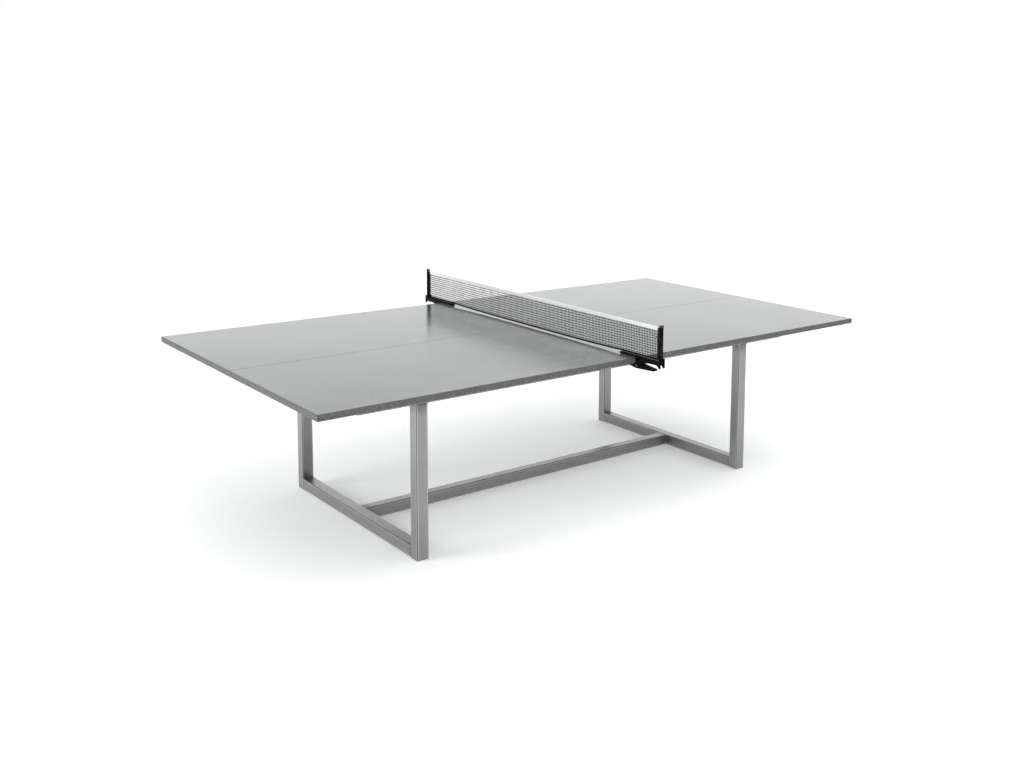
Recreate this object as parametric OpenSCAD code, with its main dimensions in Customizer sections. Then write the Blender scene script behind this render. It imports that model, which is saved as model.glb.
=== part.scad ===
// A concrete ping pong table on a welded frame of square steel tube, with a clip-on net.
// X runs along the table, Y across it and Z up. The origin is on the floor below the middle of the table.
// All sizes are in millimetres.

/* [Slab] */
// Length of the slab
slab_l = 2740; // [2200:10:3400]
// Width of the slab
slab_w = 1525; // [1200:5:1850]
// Thickness of the slab
slab_t = 24; // [20:1:32]
// Height of the playing surface above the floor
table_h = 710; // [580:5:860]
// Flat taken off the slab's edges
arris = 1.5; // [0.5:0.5:3]
// Width of the centre line
line_w = 3; // [2:0.5:5]
// Depth of the centre line's groove
line_d = 3; // [2:0.5:4]

/* [Steel frame] */
// Side of the square tube
tube = 50; // [40:1:60]
// Wall of all tubes
tube_wall = 3; // [2:0.5:4]
// Outer corner radius of all tubes
tube_r = 4; // [3.5:0.5:6]
// Depth of the side beams
beam_h = 75; // [60:1:100]
// Slab's end to the end of a side beam
beam_inset = 258; // [200:2:360]
// Slab's end to the outer face of a leg frame
frame_inset = 490; // [420:5:560]
// Slab's long edge to the outer face of the legs
side_inset = 232; // [190:2:280]
// Thickness of the plates that close tubes
plate_t = 3; // [2:0.5:5]

/* [Feet] */
// Diameter of a foot pad
foot_pad_d = 36; // [25:1:40]
// Thickness of a foot pad
foot_pad_t = 2; // [1.5:0.5:5]

/* [Slab fixings] */
// Diameter of the fixing bolts
bolt_d = 8; // [6:1:10]
// Outer diameter of the inserts in the slab
insert_d = 14; // [13:1:18]
// Length of the inserts
insert_l = 16; // [10:1:17]
// Side of a lug along the beam
lug_l = 40; // [30:1:50]
// How far a lug stands in from the beam
lug_reach = 45; // [35:1:60]
// Thickness of a lug
lug_t = 6; // [4:1:10]
// Thickness of a bearing pad
pad_t = 2; // [1:0.5:5]
// Cross member to the nearest lug
lug_gap = 100; // [60:5:140]

/* [Net] */
// Height of the net's top edge above the slab
net_top = 146; // [130:1:156]
// Height of the net's bottom edge above the slab
net_bottom = 10; // [9.5:0.5:20]
// Slab's edge to the middle of a post
post_out = 143; // [125:1:160]
// Thickness of the mesh
mesh_t = 1.2; // [0.6:0.2:2]
// Depth of the white top tape
top_tape_h = 15; // [10:1:20]
// Depth of the black bottom tape
bottom_tape_h = 7; // [3:0.5:10]
// Diameter of the cord in the top tape
net_cord_d = 2; // [1:0.5:2.5]
// Width of a side sleeve, across the post
sleeve_w = 17; // [11:1:20]
// Diameter of the rod in a side sleeve
rod_d = 5; // [3:0.5:6]

/* [Post] */
// Width of a post, along the table
post_w = 14; // [10:1:16]
// Thickness of a post, across the table
post_t = 8; // [5:1:9]
// How far a post stands above the net's top edge
post_over = 3; // [2:0.5:10]
// Height of the post cap
cap_h = 8; // [5:1:12]

/* [Clamp] */
// Reach of the upper arm over the slab
arm_in = 98; // [80:1:120]
// Width of the clamp
clamp_w = 25; // [22:1:30]
// Thickness of a cheek
cheek_t = 3; // [2:0.5:4]
// Thickness of the upper arm
arm_t = 7; // [5:0.5:8]
// Thickness of the pad under the arm
arm_pad_t = 2; // [1:0.5:3]
// Pivot's distance out from the slab's edge
pivot_out = 9.5; // [9:0.5:12]
// Pivot's depth below the slab's underside
pivot_drop = 7; // [6:0.5:9]
// Diameter of the pivot rivet
pin_d = 6; // [5:0.5:7]
// Reach of the jaw under the slab
jaw_in = 40; // [30:1:55]
// Reach of the lever's tip out from the slab's edge
lever_out = 107; // [95:1:115]
// Thickness of the jaw's pad
jaw_pad_t = 2.7; // [2:0.1:2.8]
// Spring wire
wire_d = 1.5; // [1:0.1:1.8]

/* [Hidden] */

$fn = 48;
cut = 1; // how far a cutter runs past the face it opens
running_gap = 0.05; // radial clearance of a part that turns on a pin
side_gap = 0.3; // clearance between pieces that slide past each other
bolt_gap = 0.5; // radial clearance of a bolt in a plain hole
thread_gap = 0.1; // radial clearance of a bolt's solid in its insert

// Levels, from the floor up
frame_z = foot_pad_t;
leg_z = frame_z + plate_t;
slab_z = table_h - slab_t;
steel_top = slab_z - pad_t;
beam_z = steel_top - beam_h;

// Places along and across the table
beam_end = slab_l / 2 - beam_inset;
frame_x = slab_l / 2 - frame_inset;
leg_x = frame_x - tube / 2;
leg_y = slab_w / 2 - side_inset - tube / 2;
inner_y = leg_y - tube / 2;
rail_in = frame_x - tube;

// Fixings: two in each bay between cross members and one outside it, on each side
bay = leg_x - tube;
fixing_x = [tube / 2 + bay / 3, tube / 2 + bay * 2 / 3, frame_x + lug_gap];
fixing_y = inner_y - lug_reach / 2;
washer_d = bolt_d * 2;
washer_t = bolt_d / 5;
head_h = bolt_d * 0.65;
head_d = bolt_d * 1.88;
engaged = insert_l - 2;

// Net set, in the local frame of a side: y runs out from the slab's edge and z up from the playing surface
arm_z = arm_pad_t;
arm_top = arm_z + arm_t;
cheek_in = clamp_w / 2 - cheek_t;
lever_w = 2 * (cheek_in - side_gap);
edge_gap = 1.5; // cheeks clear the slab's edge by this
pad_back = 1; // the clamp's pads lie back from the edges of the steel by this
pivot_z = -slab_t - pivot_drop;
ear_r = pivot_out - edge_gap;
foot_in = 16; // length of the post below the arm's top
bracket_top = arm_top + 11; // the cheeks rise beside the post to here
bracket_w = 20; // width of the cheeks at the post
clamp_end = post_out + bracket_w / 2;
prong_r = 5.5;
prong_z = 9 - slab_t; // middle of the round prong at the end of a cheek
screw_z = arm_top + 5.5;
screw_d = 5;
screw_head_d = 8;
screw_head_h = 2.5;
nut_d = 9;
nut_h = 4;
rivet_head_d = 10;
rivet_head_h = 1.6;
post_in = post_out - post_t / 2;
post_top = net_top + post_over;
cap_lip = 3; // how far a cap reaches down its post
cap_wall = 1.5;
rod_y = post_in - sleeve_w / 2 - side_gap;
sleeve_in = rod_y - sleeve_w / 2;
mesh_half = slab_w / 2 + sleeve_in;
tape_z = net_top - top_tape_h;
tape_wall = 1.2; // thickness of the folded tape beside the cord
tape_r = net_cord_d / 2 + tape_wall;
mesh_z = net_bottom + bottom_tape_h;
sleeve_wall = 1.5;
sleeve_h = net_top - 2 * tape_r - net_bottom;
coil_gap = 1.75; // between the rivet and the inside of the coil
spring_r = pin_d / 2 + wire_d / 2 + coil_gap;
spring_reach = 30; // length of the arm that bears on the lever
coil_pitch = wire_d * 0.87;
coil_turns = 4;
pocket_w = coil_turns * coil_pitch + 3 * wire_d;
pocket_r = spring_r + wire_d / 2 + 1;
jaw_top = -slab_t - side_gap;
tip_r = 4.75;
tip_z = pivot_z - 2;

// Route of the loose tie string: a bow outside the post, a hitch on it and a short tail.
// Each point is along the table, out from the slab's edge and up from the playing surface.
string_d = 2;
string_route = [
  [-9.2, 124, 104], [-9.6, 130, 106], [-9.8, 137, 106], [-9.8, 144, 103], [-9.6, 150, 98],
  [-9.2, 155, 91], [-8.8, 158, 83], [-8.4, 158, 75], [-8.2, 155, 67], [-8.4, 151, 60],
  [-8.8, 147, 54], [-9.2, 145, 48], [-9.4, 147, 43], [-9.4, 152, 40], [-9.2, 158, 38],
  [-9.0, 164, 36], [-8.8, 170, 33]
];

// ---- helpers ----

// A rectangle with round corners, in the middle of its plane
module round_rect(w, h, r) {
  square([w - 2 * r, h], center = true);
  square([w, h - 2 * r], center = true);
  for (sx = [-1, 1], sy = [-1, 1]) translate([sx * (w / 2 - r), sy * (h / 2 - r)]) circle(r);
}

// The section of a tube
module tube_section(w, h) {
  difference() {
    round_rect(w, h, tube_r);
    round_rect(w - 2 * tube_wall, h - 2 * tube_wall, tube_r - tube_wall);
  }
}

// Tubes along each axis: the first corner is low, the length is l
module tube_x(x, y, z, l, w, h) {
  translate([x, y, z + h / 2]) rotate([90, 0, 90]) linear_extrude(l) tube_section(w, h);
}

module tube_y(x, y, z, l, w, h) {
  translate([x, y + l, z + h / 2]) rotate([90, 0, 0]) linear_extrude(l) tube_section(w, h);
}

module tube_z(x, y, z, l) {
  translate([x, y, z]) linear_extrude(l) tube_section(tube, tube);
}

// Places a fixing's pieces at all its places
module at_fixings(z) {
  for (sy = [-1, 1], sx = [-1, 1], x = fixing_x) translate([sx * x, sy * fixing_y, z]) children();
}

// Places a piece of the net set on the far side, or turned round on the near one
module at_far() {
  translate([0, slab_w / 2, table_h]) children();
}

module at_near() {
  rotate(180) at_far() children();
}

// Extrudes an outline drawn in y and z along x, through the middle
module across(w) {
  rotate([90, 0, 90]) translate([0, 0, -w / 2]) linear_extrude(w) children();
}

// A solid cylinder along x, through the middle
module bar_x(d, w) {
  rotate([0, 90, 0]) cylinder(d = d, h = w, center = true);
}

function unit(v) = v / norm(v);
function along(p, i) = unit(p[min(i + 1, len(p) - 1)] - p[max(i - 1, 0)]);
function ring(p, i, r, n) =
  let (t = along(p, i), u = unit(cross(t, [1, 0, 0])), v = cross(t, u))
  [for (k = [0 : n - 1]) p[i] + r * (cos(360 * k / n) * u + sin(360 * k / n) * v)];

// A round tube swept along a list of points, closed at both ends
module sweep(p, d, n = 8) {
  m = len(p);
  points = [for (i = [0 : m - 1]) each ring(p, i, d / 2, n)];
  sides = [for (i = [0 : m - 2], k = [0 : n - 1])
    [i * n + k, (i + 1) * n + k, (i + 1) * n + (k + 1) % n, i * n + (k + 1) % n]];
  first = [for (k = [0 : n - 1]) k];
  last = [for (k = [n - 1 : -1 : 0]) (m - 1) * n + k];
  polyhedron(points = points, faces = concat(sides, [first, last]), convexity = 8);
}

// ---- slab ----

module concrete_slab() {
  color([0.62, 0.64, 0.63]) difference() {
    translate([-slab_l / 2, 0, slab_z]) rotate([90, 0, 90]) linear_extrude(slab_l) polygon([
      [-slab_w / 2, arris], [-slab_w / 2, slab_t - arris], [-slab_w / 2 + arris, slab_t],
      [slab_w / 2 - arris, slab_t], [slab_w / 2, slab_t - arris], [slab_w / 2, arris],
      [slab_w / 2 - arris, 0], [-slab_w / 2 + arris, 0]
    ]);
    for (s = [-1, 1], z = [slab_z, table_h]) translate([s * slab_l / 2, 0, z]) rotate([0, 45, 0])
      cube([arris * sqrt(2), slab_w + 2 * cut, arris * sqrt(2)], center = true);
    translate([-slab_l / 2 - cut, -line_w / 2, table_h - line_d]) cube([slab_l + 2 * cut, line_w, line_d + cut]);
    at_fixings(slab_z - cut) cylinder(d = insert_d, h = insert_l + cut);
  }
}

module centre_line() {
  color([0.22, 0.23, 0.23])
    translate([-slab_l / 2 + arris, -line_w / 2, table_h - line_d]) cube([slab_l - 2 * arris, line_w, line_d]);
}

module slab_inserts() {
  color([0.72, 0.62, 0.36]) at_fixings(slab_z) difference() {
    cylinder(d = insert_d, h = insert_l);
    translate([0, 0, -cut]) cylinder(d = bolt_d + 2 * thread_gap, h = engaged + 2 * cut);
  }
}

// ---- frame under the slab ----

module side_beam(s) {
  color([0.56, 0.56, 0.54])
    tube_x(-beam_end + plate_t, s * leg_y, beam_z, 2 * (beam_end - plate_t), tube, beam_h);
}

module front_side_beam() { side_beam(-1); }

module rear_side_beam() { side_beam(1); }

module beam_end_caps() {
  color([0.5, 0.5, 0.48]) for (sx = [-1, 1], sy = [-1, 1])
    translate([sx * (beam_end - plate_t / 2), sy * leg_y, beam_z + beam_h / 2]) rotate([90, 0, 90])
      translate([0, 0, -plate_t / 2]) linear_extrude(plate_t) round_rect(tube, beam_h, tube_r);
}

module cross_member(x) {
  color([0.56, 0.56, 0.54]) tube_y(x, -inner_y, steel_top - tube, 2 * inner_y, tube, tube);
}

module left_cross_member() { cross_member(-leg_x); }

module middle_cross_member() { cross_member(0); }

module right_cross_member() { cross_member(leg_x); }

module fixing_lugs() {
  color([0.52, 0.52, 0.5]) at_fixings(steel_top - lug_t) difference() {
    translate([-lug_l / 2, -lug_reach / 2, 0]) cube([lug_l, lug_reach, lug_t]);
    translate([0, 0, -cut]) cylinder(r = bolt_d / 2 + bolt_gap, h = lug_t + 2 * cut);
  }
}

// A pad lies on the beam and on the lug beside it
module bearing_pads() {
  color([0.12, 0.12, 0.12]) for (sy = [-1, 1], sx = [-1, 1], x = fixing_x) difference() {
    translate([sx * x - lug_l / 2, sy > 0 ? inner_y - lug_reach : -inner_y - tube, steel_top])
      cube([lug_l, lug_reach + tube, pad_t]);
    translate([sx * x, sy * fixing_y, steel_top - cut]) cylinder(r = bolt_d / 2 + bolt_gap, h = pad_t + 2 * cut);
  }
}

module fixing_washers() {
  color([0.7, 0.7, 0.7]) at_fixings(steel_top - lug_t - washer_t) difference() {
    cylinder(d = washer_d, h = washer_t);
    translate([0, 0, -cut]) cylinder(r = bolt_d / 2 + bolt_gap / 2, h = washer_t + 2 * cut);
  }
}

module fixing_bolts() {
  shank = washer_t + lug_t + pad_t + engaged;
  color([0.7, 0.7, 0.7]) at_fixings(steel_top - lug_t - washer_t) {
    cylinder(d = bolt_d, h = shank);
    translate([0, 0, -head_h]) cylinder(d = head_d, h = head_h, $fn = 6);
  }
}

// ---- leg frames ----

module leg(sx, sy) {
  color([0.6, 0.6, 0.58]) tube_z(sx * leg_x, sy * leg_y, leg_z, beam_z - leg_z);
}

module left_front_leg() { leg(-1, -1); }

module left_rear_leg() { leg(-1, 1); }

module right_front_leg() { leg(1, -1); }

module right_rear_leg() { leg(1, 1); }

module floor_rail(s) {
  color([0.6, 0.6, 0.58]) tube_y(s * leg_x, -inner_y, frame_z, 2 * inner_y, tube, tube);
}

module left_floor_rail() { floor_rail(-1); }

module right_floor_rail() { floor_rail(1); }

module floor_stretcher() {
  color([0.6, 0.6, 0.58]) tube_x(-rail_in, 0, frame_z, 2 * rail_in, tube, tube);
}

module foot_plates() {
  color([0.55, 0.55, 0.53]) for (sx = [-1, 1], sy = [-1, 1])
    translate([sx * leg_x, sy * leg_y, frame_z]) linear_extrude(plate_t) round_rect(tube, tube, tube_r);
}

module foot_pads() {
  color([0.1, 0.1, 0.1]) for (sx = [-1, 1], sy = [-1, 1])
    translate([sx * leg_x, sy * leg_y, 0]) cylinder(d = foot_pad_d, h = foot_pad_t);
}

// ---- net ----

module net_mesh() {
  color([0.16, 0.16, 0.17]) translate([-mesh_t / 2, -mesh_half, table_h + mesh_z])
    cube([mesh_t, 2 * mesh_half, tape_z - mesh_z]);
}

// The top tape is folded over the cord
module net_top_tape() {
  color([0.93, 0.93, 0.91]) translate([0, mesh_half, table_h]) rotate([90, 0, 0]) linear_extrude(2 * mesh_half)
    difference() {
      union() {
        translate([0, net_top - tape_r]) circle(tape_r);
        translate([-mesh_t, tape_z]) square([2 * mesh_t, top_tape_h - tape_r]);
      }
      translate([0, net_top - tape_r]) circle(net_cord_d / 2 + running_gap);
    }
}

module net_bottom_tape() {
  color([0.07, 0.07, 0.07]) translate([-mesh_t, -mesh_half, table_h + net_bottom])
    cube([2 * mesh_t, 2 * mesh_half, bottom_tape_h]);
}

// The cord runs from post to post, over the sleeves
module net_cord() {
  reach = slab_w / 2 + post_in;
  color([0.85, 0.85, 0.83]) translate([0, reach, table_h + net_top - tape_r]) rotate([90, 0, 0])
    cylinder(d = net_cord_d, h = 2 * reach);
}

// ---- one side of the net set, in its local frame ----

module net_sleeve() {
  flat = sleeve_w - 2 * tape_r;
  color([0.06, 0.06, 0.06]) translate([0, rod_y, net_bottom]) linear_extrude(sleeve_h)
    difference() {
      union() {
        square([rod_d + 2 * sleeve_wall, flat], center = true);
        circle(d = rod_d + 2 * sleeve_wall);
        square([2 * tape_r, sleeve_w], center = true);
      }
      circle(d = rod_d + 2 * running_gap);
    }
}

module net_rod() {
  color([0.15, 0.15, 0.15]) translate([0, rod_y, net_bottom]) cylinder(d = rod_d, h = sleeve_h);
}

module post() {
  color([0.06, 0.06, 0.06]) difference() {
    translate([-post_w / 2, post_in, arm_top - foot_in]) cube([post_w, post_t, post_top - arm_top + foot_in]);
    translate([0, post_out, screw_z]) bar_x(screw_d + 2 * thread_gap, post_w + 2 * cut);
  }
}

module post_cap() {
  color([0.09, 0.09, 0.09]) translate([0, post_out, post_top - cap_lip]) difference() {
    linear_extrude(cap_h) round_rect(post_w + 2 * cap_wall, post_t + 2 * cap_wall, 2);
    translate([-post_w / 2, -post_t / 2, -cut]) cube([post_w, post_t, cap_lip + cut]);
  }
}

module post_screw() {
  color([0.75, 0.75, 0.75]) translate([0, post_out, screw_z]) {
    translate([nut_h / 2 + 0.5, 0, 0]) bar_x(screw_d, clamp_w + nut_h + 1);
    translate([-clamp_w / 2 - screw_head_h, 0, 0]) rotate([0, 90, 0])
      cylinder(d1 = screw_head_d * 0.8, d2 = screw_head_d, h = screw_head_h);
  }
}

module post_nut() {
  color([0.75, 0.75, 0.75]) translate([clamp_w / 2, post_out, screw_z]) rotate([0, 90, 0]) difference() {
    cylinder(d = nut_d, h = nut_h, $fn = 6);
    translate([0, 0, -cut]) cylinder(d = screw_d, h = nut_h + 2 * cut);
  }
}

// Outline of a cheek, seen along the table: an ear at the pivot, a curved lower edge and a prong at its end
module cheek_outline() {
  ear = 34; // the ear's lower side leaves its circle at this angle from straight down
  difference() {
    union() {
      translate([pivot_out, pivot_z]) circle(ear_r);
      translate([clamp_end - prong_r, prong_z]) circle(prong_r);
      polygon([
        [edge_gap, arm_top], [edge_gap, pivot_z], [pivot_out + ear_r * sin(ear), pivot_z - ear_r * cos(ear)],
        [pivot_out + 33, prong_z - 1], [pivot_out + 52, prong_z + 2.5], [pivot_out + 72, prong_z + 5],
        [clamp_end - 44, prong_z + 6.5], [clamp_end - 30, prong_z + 6.5], [clamp_end - 19, prong_z + 4.5],
        [clamp_end - 2 * prong_r + 1, prong_z - 3], [clamp_end, prong_z],
        [clamp_end, bracket_top], [clamp_end - bracket_w, bracket_top], [clamp_end - bracket_w, arm_top]
      ]);
    }
    translate([pivot_out, pivot_z]) circle(pin_d / 2);
    translate([post_out, screw_z]) circle(screw_d / 2 + thread_gap);
  }
}

module clamp_body() {
  color([0.05, 0.05, 0.05]) {
    difference() {
      translate([-clamp_w / 2, -arm_in, arm_z]) cube([clamp_w, arm_in + clamp_end, arm_t]);
      translate([-post_w / 2 - running_gap, post_in - running_gap, arm_z - cut])
        cube([post_w + 2 * running_gap, post_t + 2 * running_gap, arm_t + 2 * cut]);
    }
    for (s = [-1, 1]) translate([s * (clamp_w - cheek_t) / 2, 0, 0]) across(cheek_t) cheek_outline();
  }
}

module arm_pad() {
  color([0.12, 0.12, 0.12]) translate([-clamp_w / 2 + pad_back, -arm_in + pad_back, 0])
    cube([clamp_w - 2 * pad_back, arm_in - 3 * pad_back, arm_pad_t]);
}

// The lever: the jaw under the slab, the pivot and the handle, with a pocket for the spring
module lever() {
  jaw_z = jaw_top - jaw_pad_t;
  slot_l = 40; // length of the pocket towards the handle
  color([0.05, 0.05, 0.05]) difference() {
    across(lever_w) difference() {
      union() {
        translate([lever_out, tip_z]) circle(tip_r);
        polygon([
          [-jaw_in, jaw_z], [-4, jaw_z], [pivot_out - 3.5, pivot_z + 8.5], [pivot_out + 33, pivot_z + 10],
          [lever_out + 0.4, tip_z + tip_r], [lever_out, tip_z - tip_r], [pivot_out - 9, pivot_z - 13],
          [4 - jaw_in, jaw_z - 11.5], [-jaw_in, jaw_z - 8]
        ]);
      }
      translate([pivot_out, pivot_z]) circle(pin_d / 2 + running_gap);
    }
    translate([0, pivot_out, pivot_z]) bar_x(2 * pocket_r, pocket_w);
    translate([-pocket_w / 2, pivot_out, pivot_z - pocket_r]) cube([pocket_w, slot_l, slab_t + pocket_r]);
  }
}

module jaw_pad() {
  color([0.12, 0.12, 0.12]) translate([-lever_w / 2 + pad_back, -jaw_in + pad_back, jaw_top - jaw_pad_t])
    cube([lever_w - 2 * pad_back, jaw_in - 8 * pad_back, jaw_pad_t]);
}

module pivot_rivet() {
  color([0.8, 0.8, 0.8]) translate([0, pivot_out, pivot_z]) {
    bar_x(pin_d, clamp_w);
    for (s = [-1, 1]) translate([s * (clamp_w + rivet_head_h) / 2, 0, 0]) bar_x(rivet_head_d, rivet_head_h);
  }
}

// The edge of one turn of the coil's section, outside or inside, as a flat crest between two valleys
function turn_edge(i, side) =
  let (x = (i - (coil_turns - 1) / 2) * coil_pitch, r = spring_r + side * wire_d / 2, valley = r - side * wire_d / 5)
  [[valley, x - side * coil_pitch / 2], [r, x - side * coil_pitch / 5], [r, x + side * coil_pitch / 5]];

// The coil round the rivet and the arm that bears on the upper arm of the clamp
module spring() {
  outer = [for (i = [0 : coil_turns - 1]) each turn_edge(i, 1)];
  inner = [for (i = [coil_turns - 1 : -1 : 0]) each turn_edge(i, -1)];
  color([0.7, 0.7, 0.7]) translate([0, pivot_out, pivot_z]) {
    rotate([0, 90, 0]) rotate_extrude() polygon(concat(outer, inner));
    translate([0, spring_r, 0]) cylinder(d = wire_d, h = arm_z - pivot_z, $fn = 24);
  }
}

// The other end of the wire: its last half turn and the arm that bears on the lever
module spring_arm() {
  turn_x = coil_turns * coil_pitch / 2 + wire_d / 2;
  color([0.7, 0.7, 0.7]) translate([turn_x, pivot_out, pivot_z]) {
    rotate([0, 90, 0]) rotate_extrude(angle = 180) translate([spring_r, 0]) circle(d = wire_d, $fn = 24);
    translate([0, 0, -spring_r]) rotate([-90, 0, 0]) cylinder(d = wire_d, h = spring_reach, $fn = 24);
  }
}

// ---- the two sides ----

module near_tie_string() {
  color([0.1, 0.1, 0.1]) at_near() sweep([for (q = string_route) [-q[0], q[1], q[2]]], string_d);
}

concrete_slab();
centre_line();
slab_inserts();
front_side_beam();
rear_side_beam();
beam_end_caps();
left_cross_member();
middle_cross_member();
right_cross_member();
fixing_lugs();
bearing_pads();
fixing_washers();
fixing_bolts();
left_front_leg();
left_rear_leg();
left_floor_rail();
right_front_leg();
right_rear_leg();
right_floor_rail();
floor_stretcher();
foot_plates();
foot_pads();
net_mesh();
net_top_tape();
net_bottom_tape();
net_cord();
at_near() net_sleeve();  // near_net_sleeve
at_near() net_rod();  // near_net_rod
at_near() post();  // near_post
at_near() post_cap();  // near_post_cap
at_near() post_screw();  // near_post_screw
at_near() post_nut();  // near_post_nut
at_near() clamp_body();  // near_clamp_body
at_near() arm_pad();  // near_arm_pad
at_near() lever();  // near_lever
at_near() jaw_pad();  // near_jaw_pad
at_near() pivot_rivet();  // near_pivot_rivet
at_near() spring();  // near_spring
at_near() spring_arm();  // near_spring_arm
near_tie_string();
at_far() net_sleeve();  // far_net_sleeve
at_far() net_rod();  // far_net_rod
at_far() post();  // far_post
at_far() post_cap();  // far_post_cap
at_far() post_screw();  // far_post_screw
at_far() post_nut();  // far_post_nut
at_far() clamp_body();  // far_clamp_body
at_far() arm_pad();  // far_arm_pad
at_far() lever();  // far_lever
at_far() jaw_pad();  // far_jaw_pad
at_far() pivot_rivet();  // far_pivot_rivet
at_far() spring();  // far_spring
at_far() spring_arm();  // far_spring_arm
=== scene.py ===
"""Looks of a concrete ping pong table: a polished slab, a welded steel frame and a clip-on net set.

Each sub-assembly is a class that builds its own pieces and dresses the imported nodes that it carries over.
Lengths are in metres. X runs along the table, Y across it and Z up, with the floor at Z = 0.
"""

import logging
import math
from dataclasses import dataclass, field
from enum import Enum

import bmesh
import bpy
import numpy as np
from mathutils import Matrix, Vector


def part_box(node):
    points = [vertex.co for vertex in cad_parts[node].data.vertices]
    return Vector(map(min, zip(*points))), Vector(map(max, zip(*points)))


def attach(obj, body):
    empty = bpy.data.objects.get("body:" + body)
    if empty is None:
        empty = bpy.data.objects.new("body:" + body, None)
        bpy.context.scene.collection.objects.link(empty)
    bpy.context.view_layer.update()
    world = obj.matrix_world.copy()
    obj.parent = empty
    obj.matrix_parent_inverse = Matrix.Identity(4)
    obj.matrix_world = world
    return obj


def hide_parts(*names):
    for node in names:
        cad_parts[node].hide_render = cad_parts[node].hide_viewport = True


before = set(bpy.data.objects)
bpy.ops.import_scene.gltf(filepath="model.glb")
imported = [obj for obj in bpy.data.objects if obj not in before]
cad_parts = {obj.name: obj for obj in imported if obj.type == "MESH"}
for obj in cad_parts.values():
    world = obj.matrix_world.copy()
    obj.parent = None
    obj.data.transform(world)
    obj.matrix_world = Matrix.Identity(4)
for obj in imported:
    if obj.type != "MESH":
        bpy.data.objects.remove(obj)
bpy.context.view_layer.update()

log = logging.getLogger("table")

MM = 0.001
Array = np.ndarray
Socket = bpy.types.NodeSocket
Colour = tuple[float, float, float]


# ---- choices ----


class Axis(Enum):
    """An axis of the table's frame, as an index into a point."""

    X = 0
    Y = 1
    Z = 2


class Side(Enum):
    """The two sides of the net set, by the sign of Y."""

    NEAR = -1
    FAR = 1

    @property
    def word(self) -> str:
        """The word that starts the names of this side's pieces."""
        return self.name.lower()


# ---- surfaces ----


def placed(name: str, data: bpy.types.ID) -> bpy.types.Object:
    """A new object in the scene, at the origin, that shows a mesh, curve, camera or light."""
    made = bpy.data.objects.new(name, data)
    bpy.context.scene.collection.objects.link(made)
    return made


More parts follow.
